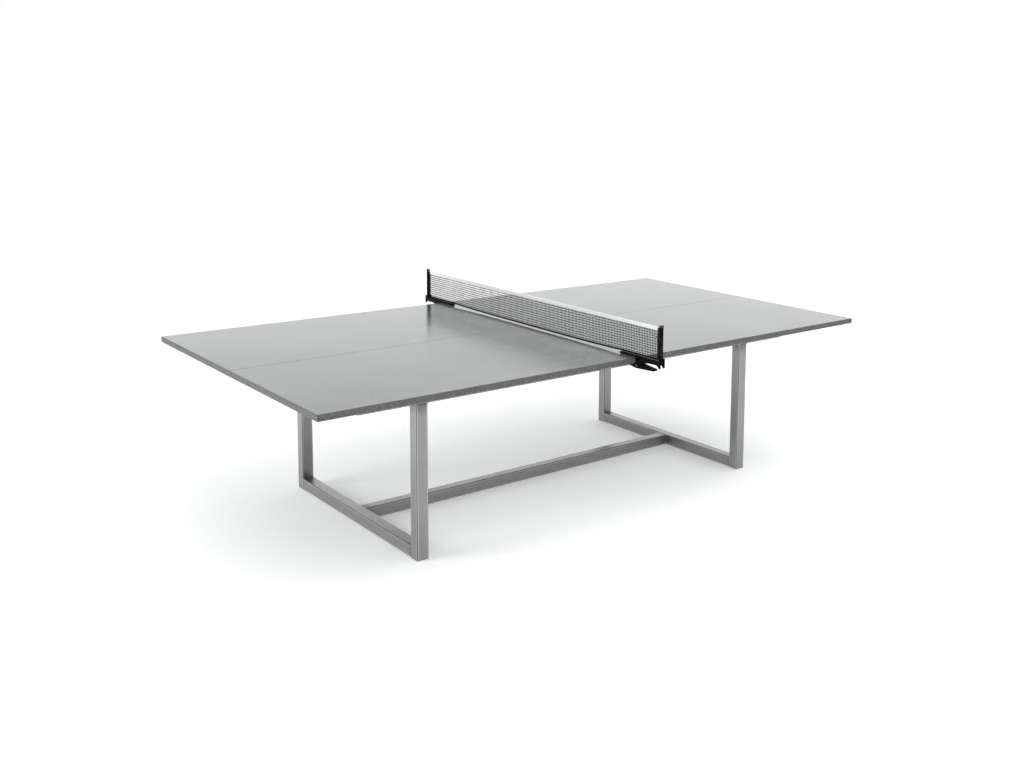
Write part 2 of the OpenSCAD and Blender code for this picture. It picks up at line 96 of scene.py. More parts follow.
@dataclass
class Shell:
    """A surface: its points and the faces between them.

    Attributes:
        points: Points, one row each.
        faces: Faces with four corners, one row each, as indices into points.
        caps: Faces with any number of corners.
    """

    points: Array
    faces: Array
    caps: list[list[int]] = field(default_factory=list)

    @classmethod
    def grid(cls, points: Array, wrap_columns: bool = False) -> "Shell":
        """A surface through a grid of points: each face joins a point, its right neighbour and the two above.

        Args:
            points: Points by row and column, shaped (rows, columns, 3).
            wrap_columns: Whether the last column joins the first.
        """
        rows, columns = points.shape[:2]
        r = np.arange(rows - 1)[:, None] * columns
        c = np.arange(columns if wrap_columns else columns - 1)[None, :]
        next_c = (c + 1) % columns
        corners = [r + c, r + next_c, r + columns + next_c, r + columns + c]
        faces = np.stack([np.broadcast_to(k, (r.size, c.size)) for k in corners], axis=-1)
        return cls(points.reshape(-1, 3), faces.reshape(-1, 4))

    @classmethod
    def tube(cls, rings: Array, capped: bool = True) -> "Shell":
        """A tube through closed rings of points, shaped (rings, places, 3). Capped, its ends are closed."""
        shell = cls.grid(rings, wrap_columns=True)
        if capped:
            count, places = rings.shape[:2]
            shell.caps = [list(range(places))[::-1], list(range((count - 1) * places, count * places))]
        return shell

    @classmethod
    def cloth(cls, middle: Array, thickness: float, closed: bool = False) -> "Shell":
        """A sheet with a real thickness: two skins at half a thickness to each side of the middle surface.

        The normal at a point is the cross product of the middle surface's two slopes.

        Args:
            middle: The middle surface by row and column, shaped (rows, columns, 3).
            thickness: Distance between the skins.
            closed: Whether the last column joins the first, as on a sleeve.
        """
        rows, columns = middle.shape[:2]
        if closed:
            across = np.roll(middle, -1, axis=1) - np.roll(middle, 1, axis=1)
        else:
            across = np.gradient(middle, axis=1)
        normal = np.cross(across, np.gradient(middle, axis=0))
        normal /= np.linalg.norm(normal, axis=2, keepdims=True)
        skins = [cls.grid(middle + s * normal * thickness / 2, wrap_columns=closed) for s in (1, -1)]
        skins[1].faces = skins[1].faces[:, ::-1]
        both = cls.together(skins)
        index = np.arange(rows * columns).reshape(rows, columns)
        edges = [index[0], index[-1][::-1]]
        if closed:
            edges = [np.append(e, e[0]) for e in edges]
        else:
            edges += [index[::-1, 0], index[:, -1]]
        other = rows * columns
        rims = [np.stack([e[1:], e[:-1], e[:-1] + other, e[1:] + other], axis=1) for e in edges]
        both.faces = np.concatenate([both.faces, *rims])
        return both

    @classmethod
    def together(cls, shells: list["Shell"]) -> "Shell":
        """Several surfaces as one."""
        starts = np.cumsum([0] + [len(s.points) for s in shells])
        return cls(
            np.concatenate([s.points for s in shells]),
            np.concatenate([s.faces + at for s, at in zip(shells, starts)]),
            [[i + int(at) for i in cap] for s, at in zip(shells, starts) for cap in s.caps],
        )

    def repeated(self, places: Array) -> "Shell":
        """Copies of the surface as one, each moved by a row of places."""
        count = len(self.points)
        starts = np.arange(len(places)) * count
        points = (places[:, None, :] + self.points[None]).reshape(-1, 3)
        faces = (starts[:, None, None] + self.faces[None]).reshape(-1, 4)
        caps = [[i + int(at) for i in cap] for at in starts for cap in self.caps]
        return Shell(points, faces, caps)

    def outward(self) -> "Shell":
        """The surface with its faces turned outwards: a closed surface's volume is then positive.

        The volume is the sum, over the faces, of the box product of three corners over six.
        """
        a, b, c, d = (self.points[self.faces[:, i]] for i in range(4))
        volume = np.einsum("ij,ij->", a, np.cross(b, c)) + np.einsum("ij,ij->", a, np.cross(c, d))
        if volume < 0:
            self.faces = self.faces[:, ::-1]
            self.caps = [cap[::-1] for cap in self.caps]
        return self

    def piece(self, name: str) -> bpy.types.Object:
        """Puts the surface into a new object of that name, shaded as one smooth surface."""
        mesh = bpy.data.meshes.new(name)
        mesh.from_pydata(self.points.tolist(), [], self.faces.tolist() + self.caps)
        mesh.update()
        mesh.shade_smooth()
        return placed(name, mesh)


def circle(radius: float, sides: int) -> Array:
    """Points round a circle in its plane, shaped (sides, 2)."""
    turn = np.arange(sides) * 2 * np.pi / sides
    return radius * np.stack([np.cos(turn), np.sin(turn)], axis=1)


def lozenge(half: tuple[float, float, float], rings: int, sides: int, along: Axis) -> Shell:
    """A closed lozenge round the origin: an ellipsoid with flat caps at its two poles.

    Args:
        half: Half its size along X, Y and Z.
        rings: Rings from pole to pole.
        sides: Points round each ring.
        along: The axis through its poles.
    """
    first = 0.08
    angle = np.linspace(first, np.pi - first, rings)[:, None]
    turn = (np.arange(sides) * 2 * np.pi / sides)[None, :]
    round_it = [np.sin(angle) * np.cos(turn), np.sin(angle) * np.sin(turn)]
    pole = np.broadcast_to(np.cos(angle), round_it[0].shape)
    unit = np.stack(np.roll([pole, *round_it], along.value, axis=0), axis=-1)
    return Shell.tube(unit * np.array(half)).outward()


# ---- node trees ----


class Wiring:
    """The node tree of a material or of the surroundings, with short calls for the nodes that it uses."""

    def __init__(self, owner: bpy.types.Material | bpy.types.World, coordinates: str = "Object") -> None:
        """Starts on an owner's node tree.

        Args:
            owner: The material or the world.
            coordinates: Kind of coordinates in which its textures are read.
        """
        owner.use_nodes = True
        self.nodes = owner.node_tree.nodes
        self.links = owner.node_tree.links
        self.place = self.node("ShaderNodeTexCoord").outputs[coordinates]

    def node(self, kind: str, **settings: object) -> bpy.types.Node:
        """A new node of that kind, with those settings."""
        made = self.nodes.new(kind)
        for key, value in settings.items():
            setattr(made, key, value)
        return made

    def feed(self, socket: Socket, value: object) -> None:
        """Links a socket to another, or sets its value."""
        if isinstance(value, bpy.types.NodeSocket):
            self.links.new(value, socket)
        elif isinstance(value, tuple) and len(value) == 3 and socket.type == "RGBA":
            socket.default_value = (*value, 1)
        else:
            socket.default_value = value

    def set(self, **values: object) -> None:
        """Sets or links the surface shader's sockets, named in lower case with _ for a space."""
        shader = self.nodes["Principled BSDF"]
        sockets = {s.name.lower().replace(" ", "_"): s for s in shader.inputs}
        for key, value in values.items():
            self.feed(sockets[key], value)

    def maths(self, kind: str, a: object, b: object = 0.0, clamp: bool = False) -> Socket:
        """One sum on two numbers."""
        made = self.node("ShaderNodeMath", operation=kind, use_clamp=clamp)
        self.feed(made.inputs[0], a)
        self.feed(made.inputs[1], b)
        return made.outputs[0]

    def scaled(self, scale: tuple[float, ...]) -> Socket:
        """The coordinates, scaled on each axis."""
        made = self.node("ShaderNodeMapping")
        self.feed(made.inputs["Vector"], self.place)
        self.feed(made.inputs["Scale"], scale)
        return made.outputs[0]

    def noise(self, scale: float, detail: float = 3, rough: float = 0.5, at: Socket | None = None) -> Socket:
        """Cloudy noise from 0 to 1.

        Args:
            scale: Clouds per metre.
            detail: Finer layers added to the clouds.
            rough: Strength of the finer layers.
            at: Where it is read, or None for the plain coordinates.
        """
        made = self.node("ShaderNodeTexNoise")
        settings = {"Vector": at or self.place, "Scale": scale, "Detail": detail, "Roughness": rough}
        for key, value in settings.items():
            self.feed(made.inputs[key], value)
        return made.outputs["Fac"]

    def cells(self, scale: float) -> Socket:
        """Distance to the nearest of many scattered points, in units of their spacing."""
        made = self.node("ShaderNodeTexVoronoi")
        self.feed(made.inputs["Vector"], self.place)
        self.feed(made.inputs["Scale"], scale)
        return made.outputs["Distance"]

    def component(self, vector: Socket, axis: Axis) -> Socket:
        """One component of a vector."""
        made = self.node("ShaderNodeSeparateXYZ")
        self.feed(made.inputs[0], vector)
        return made.outputs[axis.value]

    def part(self, axis: Axis) -> Socket:
        """One of the coordinates."""
        return self.component(self.place, axis)

    def facing(self, axis: Axis) -> Socket:
        """How far the surface faces along an axis, from -1 to 1."""
        return self.component(self.node("ShaderNodeNewGeometry").outputs["Normal"], axis)

    def between(
        self, value: Socket, low: float, high: float, start: float = 0.0, end: float = 1.0
    ) -> Socket:
        """A smooth step: start at low and below, end at high and above."""
        made = self.node("ShaderNodeMapRange", interpolation_type="SMOOTHSTEP")
        settings = {"Value": value, "From Min": low, "From Max": high, "To Min": start, "To Max": end}
        for key, setting in settings.items():
            self.feed(made.inputs[key], setting)
        return made.outputs["Result"]

    def ramp(self, value: Socket, start: float, end: float) -> Socket:
        """A smooth step from start to end as a value goes from 0 to 1."""
        return self.between(value, 0.0, 1.0, start, end)

    def blend(self, share: object, a: object, b: object) -> Socket:
        """A mix of two colours, with a share of the second from 0 to 1."""
        made = self.node("ShaderNodeMix", data_type="RGBA")
        self.feed(made.inputs["Factor"], share)
        self.feed(made.inputs[6], a)
        self.feed(made.inputs[7], b)
        return made.outputs[2]

    def lay(self, under: object, mask: Socket, strength: float, over: object) -> Socket:
        """Lays a colour over another where a mask is.

        Args:
            under: The colour below.
            mask: Where the colour above shows, from 0 to 1.
            strength: How much of it shows there, from 0 to 1.
            over: The colour above.
        """
        return self.blend(self.maths("MULTIPLY", mask, strength), under, over)

    def bump(self, height: Socket, depth: float, under: Socket | None = None) -> Socket:
        """Turns a height from 0 to 1 into relief.

        Args:
            height: The height.
            depth: Depth of the relief at full height, in metres.
            under: Relief that this one is added to.
        """
        made = self.node("ShaderNodeBump")
        self.feed(made.inputs["Strength"], 1.0)
        self.feed(made.inputs["Distance"], depth)
        self.feed(made.inputs["Height"], height)
        if under is not None:
            self.feed(made.inputs["Normal"], under)
        return made.outputs["Normal"]


# ---- finishes ----


class Finish:
    """A surface finish. Each kind says how its material is wired.

    Attributes:
        name: Name of the material.
    """

    name: str

    def make(self) -> bpy.types.Material:
        """Builds the material."""
        material = bpy.data.materials.new(self.name)
        self.wire(Wiring(material))
        return material

    def wire(self, w: Wiring) -> None:
        """Wires the material's node tree."""
        raise NotImplementedError


@dataclass(frozen=True)
class PolishedConcrete(Finish):
    """Ground and sealed concrete: cloudy grey on top, rougher and pitted on its edges, with painted shade
    along the sloping arris between them.

    Attributes:
        light: Colour of the pale clouds on top.
        dark: Colour of the dark clouds.
        drift: Colour of smaller drifts over the clouds.
        sand: Colour of the fine sand.
        grain: Colour of scattered larger grains.
        edge: Colour of the edges.
        edge_dark: Colour of the edges' dark patches.
        chip: Colour of the stone chips in the edges.
        pit: Colour of the pits.
        corner: Colour of the painted shade along the sloping arris between the top and the edges.
        gloss: Roughness of the top.
        edge_rough: Roughness of the edges.
    """

    name: str = "polished_concrete"
    light: Colour = (0.108, 0.116, 0.114)
    dark: Colour = (0.072, 0.078, 0.077)
    drift: Colour = (0.090, 0.097, 0.095)
    sand: Colour = (0.21, 0.222, 0.22)
    grain: Colour = (0.10, 0.105, 0.10)
    edge: Colour = (0.060, 0.062, 0.060)
    edge_dark: Colour = (0.038, 0.040, 0.038)
    chip: Colour = (0.145, 0.149, 0.142)
    pit: Colour = (0.022, 0.022, 0.021)
    # Painted shade on the sloping arris below the top.
    corner: Colour = (0.030, 0.031, 0.030)
    gloss: float = 0.075
    edge_rough: float = 0.62

    def top_colour(self, w: Wiring) -> Socket:
        """Clouds and drifts with fine sand and scattered grains in them."""
        clouds = w.between(w.noise(2.2, 5, 0.55), 0.36, 0.66)
        colour = w.blend(clouds, self.dark, self.light)
        colour = w.lay(colour, w.between(w.noise(9, 4, 0.6), 0.3, 0.7), 0.35, self.drift)
        colour = w.lay(colour, w.between(w.noise(420, 2, 0.6), 0.35, 0.7), 0.22, self.sand)
        grains = w.between(w.cells(260), 0.10, 0.16, 1.0, 0.0)
        sparse = w.between(w.noise(45, 2), 0.52, 0.60)
        return w.lay(colour, w.maths("MULTIPLY", grains, sparse), 0.45, self.grain)

    def edge_colour(self, w: Wiring, pits: Socket, level: Socket) -> Socket:
        """Dark stone with chips and pits in it, and painted shade along the sloping arris.

        Args:
            w: The material's node tree.
            pits: Where the pits are, from 0 to 1.
            level: How level the surface is, from 0 to 1.
        """
        colour = w.blend(w.between(w.noise(75, 3, 0.6), 0.40, 0.60), self.edge, self.edge_dark)
        colour = w.lay(self.chip, w.between(w.cells(95), 0.20, 0.42), 0.55, colour)
        colour = w.blend(pits, colour, self.pit)
        # Painted shade: where the surface slopes between level and upright, on the arris below the top, the
        # colour darkens towards the corner colour.
        return w.lay(colour, w.between(level, 0.3, 0.6), 0.6, self.corner)

    def wire(self, w: Wiring) -> None:
        level = w.maths("ABSOLUTE", w.facing(Axis.Z))
        top = w.between(level, 0.75, 0.95)
        side = w.maths("SUBTRACT", 1.0, top)
        pits = w.between(w.cells(60), 0.16, 0.24, 1.0, 0.0)
        pits = w.maths("MULTIPLY", pits, w.between(w.noise(24, 2), 0.44, 0.53))
        worn = w.between(w.noise(60, 3), 0.3, 0.7, self.gloss, self.gloss + 0.06)
        rough = w.maths("MULTIPLY", side, self.edge_rough)
        ground = w.maths("MULTIPLY", side, w.maths("SUBTRACT", 1.0, pits))
        ripple = w.bump(w.noise(160, 2), 0.00002)
        w.set(
            base_color=w.blend(top, self.edge_colour(w, pits, level), self.top_colour(w)),
            roughness=w.maths("ADD", w.maths("MULTIPLY", top, worn), rough),
            ior=1.5,
            normal=w.bump(w.maths("ADD", ground, w.noise(350, 3)), 0.00025, ripple),
        )


@dataclass(frozen=True)
class GroutLine(Finish):
    """Dark grout in the groove of the centre line, with fine sand in it.

    Attributes:
        grout: Colour of the grout.
        sand: Colour of the sand.
    """

    name: str = "dark_grout"
    grout: Colour = (0.010, 0.010, 0.010)
    sand: Colour = (0.028, 0.029, 0.029)

    def wire(self, w: Wiring) -> None:
        sand = w.between(w.noise(900, 3, 0.6), 0.35, 0.65)
        w.set(
            base_color=w.blend(sand, self.grout, self.sand),
            roughness=w.ramp(sand, 0.45, 0.6),
            specular_ior_level=0.2,
            normal=w.bump(sand, 0.00006),
        )


@dataclass(frozen=True)
class BrushedTube(Finish):
    """Raw steel tube, brushed along its length and clear coated, with heat marks beside its welds and a
    painted highlight and painted shade along its corners.

    Attributes:
        along: The axis that the tube and its grain run along.
        centre: The tube's middle on the two other axes, as distances from the table's middle.
        half: Half the tube's size on those two axes.
        welds: Where its welds are along the tube, as distances from the table's middle.
        steel: Colour of the clean steel.
        burnt: How strong the heat marks are, from 0 to 1.
        streak: Colour of the broad brush marks.
        dull: Colour of dull patches.
        scratch: Colour of the fine brush marks.
        straw: Colour of the heat marks' pale places.
        scorch: Colour of their dark places.
        worn: Colour of the painted highlight beside each corner, the light line that the rounded arris would
            catch.
        shade: Colour of the painted shade along the corner itself.
        bright_line: Distances from the corner between which the painted highlight fades.
        dark_line: Distances from the corner between which the painted shade fades.
    """

    name: str
    along: Axis
    centre: tuple[float, float]
    half: tuple[float, float]
    welds: tuple[float, ...]
    steel: Colour = (0.29, 0.294, 0.284)
    burnt: float = 0.35
    streak: Colour = (0.20, 0.202, 0.195)
    dull: Colour = (0.22, 0.222, 0.212)
    scratch: Colour = (0.42, 0.425, 0.41)
    straw: Colour = (0.17, 0.15, 0.125)
    scorch: Colour = (0.085, 0.083, 0.083)
    # Painted highlight: the light line beside each rounded corner.
    worn: Colour = (0.58, 0.585, 0.57)
    # Painted shade: the dark line along each rounded corner.
    shade: Colour = (0.075, 0.075, 0.072)
    bright_line: tuple[float, float] = (0.0040, 0.0075)
    dark_line: tuple[float, float] = (0.0022, 0.0036)

    def drawn_out(self, w: Wiring, share: float) -> Socket:
        """Coordinates that shrink to a share along the tube, so that a texture is drawn out there."""
        return w.scaled(tuple(share if axis is self.along else 1.0 for axis in Axis))

    def corner(self, w: Wiring) -> Socket:
        """Distance from a corner of the tube: the larger of the distances in from the two nearest faces."""
        others = [axis for axis in Axis if axis is not self.along]
        depths = []
        for axis, middle, half in zip(others, self.centre, self.half):
            off = w.maths("SUBTRACT", w.maths("ABSOLUTE", w.part(axis)), middle)
            depths.append(w.maths("SUBTRACT", half, w.maths("ABSOLUTE", off)))
        return w.maths("MAXIMUM", *depths)

    def heat(self, w: Wiring) -> Socket:
        """Nearness to a weld, from 0 to 1, with a ragged edge."""
        place = w.maths("ABSOLUTE", w.part(self.along))
        ragged = w.maths("MULTIPLY", w.noise(38, 4, 0.6), 0.05)
        total: Socket | None = None
        for weld in self.welds:
            off = w.maths("ABSOLUTE", w.maths("SUBTRACT", place, weld))
            near = w.between(w.maths("ADD", off, ragged), 0.022, 0.075, 1.0, 0.0)
            total = near if total is None else w.maths("MAXIMUM", total, near)
        return total

    def wire(self, w: Wiring) -> None:
        fine = w.noise(1400, 2, 0.6, self.drawn_out(w, 0.012))
        streaks = w.between(w.noise(230, 4, 0.65, self.drawn_out(w, 0.03)), 0.3, 0.7)
        heat = self.heat(w)
        corner = self.corner(w)
        marks = w.blend(w.between(w.noise(55, 3), 0.35, 0.65), self.straw, self.scorch)
        colour = w.lay(self.steel, streaks, 0.45, self.streak)
        colour = w.lay(colour, w.between(w.noise(14, 4, 0.6), 0.35, 0.68), 0.35, self.dull)
        colour = w.lay(colour, w.between(fine, 0.35, 0.7), 0.25, self.scratch)
        colour = w.lay(colour, heat, self.burnt, marks)
        # Painted highlight: a light band beside each corner, where the rounded arris would catch the light.
        colour = w.lay(colour, w.between(corner, *self.bright_line, 1.0, 0.0), 0.55, self.worn)
        # Painted shade: a dark line along the corner itself.
        colour = w.lay(colour, w.between(corner, *self.dark_line, 1.0, 0.0), 0.85, self.shade)
        w.set(
            base_color=colour,
            metallic=1.0,
            roughness=w.maths("ADD", w.ramp(streaks, 0.30, 0.44), w.maths("MULTIPLY", heat, 0.12)),
            coat_weight=0.25,
            coat_roughness=0.12,
            normal=w.bump(fine, 0.00003),
        )


@dataclass(frozen=True)
class MillPlate(Finish):
    """Flat steel with mill scale worn off in patches, for lugs, end plates and foot plates.

    Attributes:
        steel: Colour of the bare steel.
        scale: Colour of the mill scale.
        scratch: Colour of the scratches.
    """

    name: str = "mill_plate"
    steel: Colour = (0.36, 0.362, 0.35)
    scale: Colour = (0.19, 0.192, 0.19)
    scratch: Colour = (0.5, 0.5, 0.48)

    def wire(self, w: Wiring) -> None:
        scale = w.between(w.noise(45, 5, 0.62), 0.42, 0.6)
        scratches = w.between(w.noise(500, 2, 0.6, w.scaled((1.0, 0.05, 1.0))), 0.4, 0.7)
        w.set(
            base_color=w.lay(w.blend(scale, self.steel, self.scale), scratches, 0.4, self.scratch),
            metallic=1.0,
            roughness=w.ramp(scale, 0.34, 0.55),
            normal=w.bump(scratches, 0.00003),
        )


@dataclass(frozen=True)
class WeldMetal(Finish):
    """Weld metal: silver ripples with straw, brown and blue heat colours along the bead.

    Attributes:
        straw: Colour of the warm stretches.
        blue: Colour of the cold ones.
        silver: Colour of the bright specks.
    """

    name: str = "weld_metal"
    straw: Colour = (0.42, 0.36, 0.27)
    blue: Colour = (0.22, 0.235, 0.29)
    silver: Colour = (0.5, 0.5, 0.49)

    def wire(self, w: Wiring) -> None:
        tint = w.between(w.noise(90, 3, 0.6), 0.3, 0.7)
        specks = w.between(w.noise(700, 2), 0.45, 0.7)
        w.set(
            base_color=w.lay(w.blend(tint, self.straw, self.blue), specks, 0.6, self.silver),
            metallic=1.0,
            roughness=w.ramp(specks, 0.28, 0.5),
            normal=w.bump(specks, 0.00008),
        )


@dataclass(frozen=True)
class PlatedMetal(Finish):
    """Plated or turned metal for screws, nuts, washers, rivets, springs and inserts.

    Attributes:
        bright: Colour of the clean metal.
        dull: Colour where the metal is handled or tarnished.
        gloss: Roughness of the clean metal.
        dulling: Roughness that is added where it is dull.
        grain: Scale of the patches, per metre.
        tarnish: Noise values between which the patches rise.
        turning: Scale and depth of the turning marks.
    """

    name: str
    bright: Colour = (0.66, 0.67, 0.68)
    dull: Colour = (0.40, 0.40, 0.40)
    gloss: float = 0.2
    dulling: float = 0.18
    grain: float = 260
    tarnish: tuple[float, float] = (0.35, 0.7)
    turning: tuple[float, float] = (2600, 0.00001)

    def wire(self, w: Wiring) -> None:
        worn = w.between(w.noise(self.grain, 4, 0.6), *self.tarnish)
        marks, depth = self.turning
        w.set(
            base_color=w.blend(worn, self.bright, self.dull),
            metallic=1.0,
            roughness=w.ramp(worn, self.gloss, self.gloss + self.dulling),
            normal=w.bump(w.noise(marks, 2), depth),
        )


@dataclass(frozen=True)
class BlackCoat(Finish):
    """Black paint or powder coat: a fine skin with rubbed places and a little dust.

    Attributes:
        grain: Bumps of the skin per metre.
        relief: Depth of the bumps.
        gloss: Roughness of the clean skin.
        black: Colour of the clean skin.
        rubbed: Colour of the rubbed places.
        dust: Colour of the dust.
    """

    name: str
    grain: float = 1500
    relief: float = 0.00006
    gloss: float = 0.38
    black: Colour = (0.0012, 0.0012, 0.0014)
    rubbed: Colour = (0.0045, 0.0045, 0.005)
    dust: Colour = (0.035, 0.035, 0.035)

    def wire(self, w: Wiring) -> None:
        rubbed = w.between(w.noise(75, 4, 0.6), 0.5, 0.72)
        dust = w.between(w.noise(400, 3, 0.7), 0.55, 0.75)
        w.set(
            base_color=w.lay(w.blend(rubbed, self.black, self.rubbed), dust, 0.10, self.dust),
            roughness=w.ramp(rubbed, self.gloss, self.gloss - 0.12),
            specular_ior_level=0.06,
            normal=w.bump(w.noise(self.grain, 2, 0.5), self.relief),
        )


@dataclass(frozen=True)
class MouldedPart(Finish):
    """A black moulded part: rubber or plastic with a fine grain and grey scuffs.

    Attributes:
        colour: Colour of the clean surface.
        scuffed: Colour of the scuffs.
        gloss: Roughness of the clean surface.
    """

    name: str
    colour: Colour = (0.018, 0.018, 0.019)
    scuffed: Colour = (0.06, 0.06, 0.06)
    gloss: float = 0.6

    def wire(self, w: Wiring) -> None:
        scuffs = w.between(w.noise(180, 4, 0.65), 0.5, 0.75)
        w.set(
            base_color=w.blend(scuffs, self.colour, self.scuffed),
            roughness=w.ramp(scuffs, self.gloss, self.gloss + 0.2),
            normal=w.bump(w.noise(2200, 2), 0.00004),
        )


@dataclass(frozen=True)
class WovenCloth(Finish):
    """Plain woven tape or cloth: warp and weft threads that rise in turn, with fuzz and soiling.

    Attributes:
        thread: Colour of the threads.
        gap: Colour between the threads.
        soil: Colour of the soiling.
        pitch: Distance between threads.
        sheen: Strength of the nap's sheen.
    """

    name: str
    thread: Colour
    gap: Colour
    soil: Colour
    pitch: float = 0.0007
    sheen: float = 0.02

    def ridges(self, w: Wiring, axis: Axis) -> Socket:
        """A row of round ridges: the absolute sine of the place along an axis, in half turns per thread."""
        turns = w.maths("MULTIPLY", w.part(axis), math.pi / self.pitch)
        return w.maths("ABSOLUTE", w.maths("SINE", turns))

    def wire(self, w: Wiring) -> None:
        warp, weft = (self.ridges(w, axis) for axis in (Axis.Y, Axis.Z))
        weave = w.maths("MAXIMUM", w.maths("MULTIPLY", warp, 0.9), weft)
        crossing = w.maths("ADD", w.maths("MULTIPLY", warp, weft), 0.35)
        weave = w.maths("MULTIPLY", weave, crossing, clamp=True)
        fuzz = w.noise(1600, 3, 0.7)
        soiled = w.between(w.noise(28, 4, 0.6), 0.48, 0.75)
        w.set(
            base_color=w.lay(w.blend(weave, self.gap, self.thread), soiled, 0.35, self.soil),
            roughness=w.between(fuzz, 0.2, 0.8, 0.78, 0.95),
            specular_ior_level=0.25,
            sheen_weight=self.sheen,
            sheen_roughness=0.5,
            normal=w.bump(w.maths("ADD", weave, w.maths("MULTIPLY", fuzz, 0.4)), 0.00018),
        )


@dataclass(frozen=True)
class TwistedYarn(Finish):
    """Twisted yarn of a net or cord: strands that wind round it, a little fuzz and worn lighter places.

    Attributes:
        dark: Colour between the strands.
        light: Colour on the strands.
        twist: Strands per metre.
        lean: How the strands lean, as shares of X, Y and Z.
    """

    name: str
    dark: Colour
    light: Colour
    twist: float = 900
    lean: tuple[float, float, float] = (0.6, 1.0, 1.0)

    def wire(self, w: Wiring) -> None:
        wave = w.node("ShaderNodeTexWave", wave_type="BANDS", bands_direction="DIAGONAL")
        w.feed(wave.inputs["Vector"], w.scaled(self.lean))
        w.feed(wave.inputs["Scale"], self.twist)
        w.feed(wave.inputs["Distortion"], 1.5)
        strands = wave.outputs["Fac"]
        fuzz = w.between(w.noise(2400, 2, 0.7), 0.3, 0.7)
        w.set(
            base_color=w.lay(w.blend(strands, self.dark, self.light), fuzz, 0.3, self.light),
            roughness=w.ramp(fuzz, 0.7, 0.9),
            specular_ior_level=0.2,
            sheen_weight=0.02,
            normal=w.bump(strands, 0.00008),
        )


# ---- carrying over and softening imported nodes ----


def dress(material: bpy.types.Material, *nodes: str) -> None:
    """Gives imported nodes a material."""
    for name in nodes:
        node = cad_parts[name]
        if not node.material_slots:
            node.data.materials.append(material)
        for slot in node.material_slots:
            slot.material = material
        log.info("%s: %s", name, material.name)


def settle(piece: bpy.types.Object, material: bpy.types.Material, body: str) -> bpy.types.Object:
    """Gives a new piece its material, its body and its material slot, and reports it.

    Args:
        piece: The new piece.
        material: Its material.
        body: Name of the body that it rides on.
    """
    piece.data.materials.clear()
    piece.data.materials.append(material)
    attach(piece, body)
    log.info("%s: %s, on %s", piece.name, material.name, body)
    return piece


def softened(name: str, node: str, radius: float) -> bpy.types.Object:
    """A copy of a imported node's solid with its sharp edges rounded, which stands for the node.

    Args:
        name: Name of the new piece.
        node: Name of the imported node.
        radius: Radius of the rounded edges.
    """
    same_place, flat, sharp = 0.01 * MM, math.radians(0.5), math.radians(35)
    solid = bmesh.new()
    solid.from_mesh(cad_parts[node].data)
    bmesh.ops.remove_doubles(solid, verts=solid.verts, dist=same_place)
    bmesh.ops.dissolve_limit(solid, angle_limit=flat, verts=solid.verts, edges=solid.edges)
    mesh = bpy.data.meshes.new(name)
    solid.to_mesh(mesh)
    solid.free()
    mesh.shade_smooth()
    piece = placed(name, mesh)
    bevel = piece.modifiers.new("rounded_edges", "BEVEL")
    bevel.width = radius
    bevel.segments = 2
    bevel.limit_method = "ANGLE"
    bevel.angle_limit = sharp
    bevel.harden_normals = True
    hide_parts(node)
    return piece


# ---- studio ----


